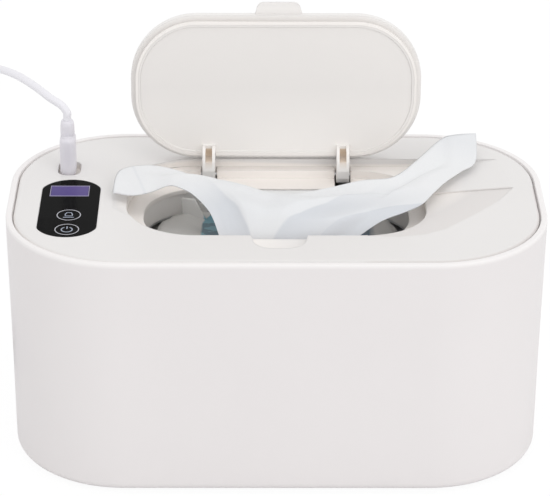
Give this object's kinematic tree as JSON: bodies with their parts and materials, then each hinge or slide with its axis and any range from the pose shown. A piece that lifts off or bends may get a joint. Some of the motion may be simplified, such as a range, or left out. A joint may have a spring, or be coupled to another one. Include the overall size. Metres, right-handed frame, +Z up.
{
  "type": "baby wipe warmer",
  "caption": "Top-heated wet wipe warmer: rounded white case, lift-off lid with a hinged flap over a dispensing well, touch panel with display, and a plug-in supply cable.",
  "frame": {"origin": "on the table under the middle of the case", "axes": "+X to the right along the case's long side, +Y to the back, where the flap's hinge is, +Z up; the finger notch and the flap's tab face the front"},
  "size_m": [0.3148, 0.155, 0.182],
  "materials": {
    "case_white": "satin moulded ABS",
    "lid_white": "satin moulded ABS",
    "liner_white": "moulded polypropylene",
    "warm_white": "satin moulded ABS",
    "silicone": "soft moulded silicone",
    "foot_rubber": "moulded rubber",
    "black_panel": "polished acrylic, black behind",
    "screw_steel": "zinc plated steel",
    "plug_steel": "nickel plated steel",
    "spring_steel": "tinned spring steel",
    "heater_aluminium": "rolled sheet",
    "film_amber": "polyimide film with an etched foil track",
    "foam_grey": "closed-cell foam",
    "ceramic_bead": "glazed bead",
    "epoxy_black": "moulded epoxy",
    "board_green": "glass-fibre board under solder mask",
    "display_violet": "lit display window",
    "wire_red": "silicone insulation",
    "cable_white": "soft PVC",
    "strap_black": "woven strap",
    "pack_film": "printed foil pouch",
    "wipe_fabric": "damp non-woven"
  },
  "bodies": {
    "case": {"outer_case": "case_white", "case_liner": "liner_white", "bottom_cover": "case_white", "rubber_feet": "foot_rubber", "case_screws": "screw_steel", "wipe_pack": "pack_film", "cable_coil": "cable_white", "cable_tie": "strap_black", "usb_plug": "cable_white", "usb_plug_shell": "plug_steel"},
    "lid": {"lid_cover": "lid_white", "lid_frame": "liner_white", "lid_seal": "silicone", "lid_screws": "screw_steel", "heater_plate": "heater_aluminium", "heater_film": "film_amber", "insulation_pad": "foam_grey", "plate_screws": "screw_steel", "thermal_fuse": "ceramic_bead", "temperature_sensor": "epoxy_black", "heater_wires": "wire_red", "control_panel": "black_panel", "control_board": "board_green", "board_parts": "epoxy_black", "display_module": "display_violet", "touch_springs": "spring_steel", "board_screws": "screw_steel", "usb_socket": "plug_steel", "socket_board": "board_green", "socket_wires": "wire_red", "hinge_pins": "screw_steel", "wipe_sheet": "wipe_fabric", "cable_plug": "cable_white", "plug_tip": "plug_steel", "power_cable": "cable_white"},
    "flap": {"flap_cover": "lid_white", "flap_liner": "warm_white", "flap_seal": "silicone"}
  },
  "joints": [
    {"name": "lid_lift", "type": "slide", "parent": "case", "child": "lid", "axis": [0, 0, 1], "range_m": [0, 0.06], "deforming": ["power_cable"]},
    {"name": "flap_hinge", "type": "hinge", "parent": "lid", "child": "flap", "pos_m": [0, 0.0352, 0.1041], "axis": [1, 0, 0], "range_deg": [0, 93], "deforming": ["wipe_sheet"]}
  ]
}
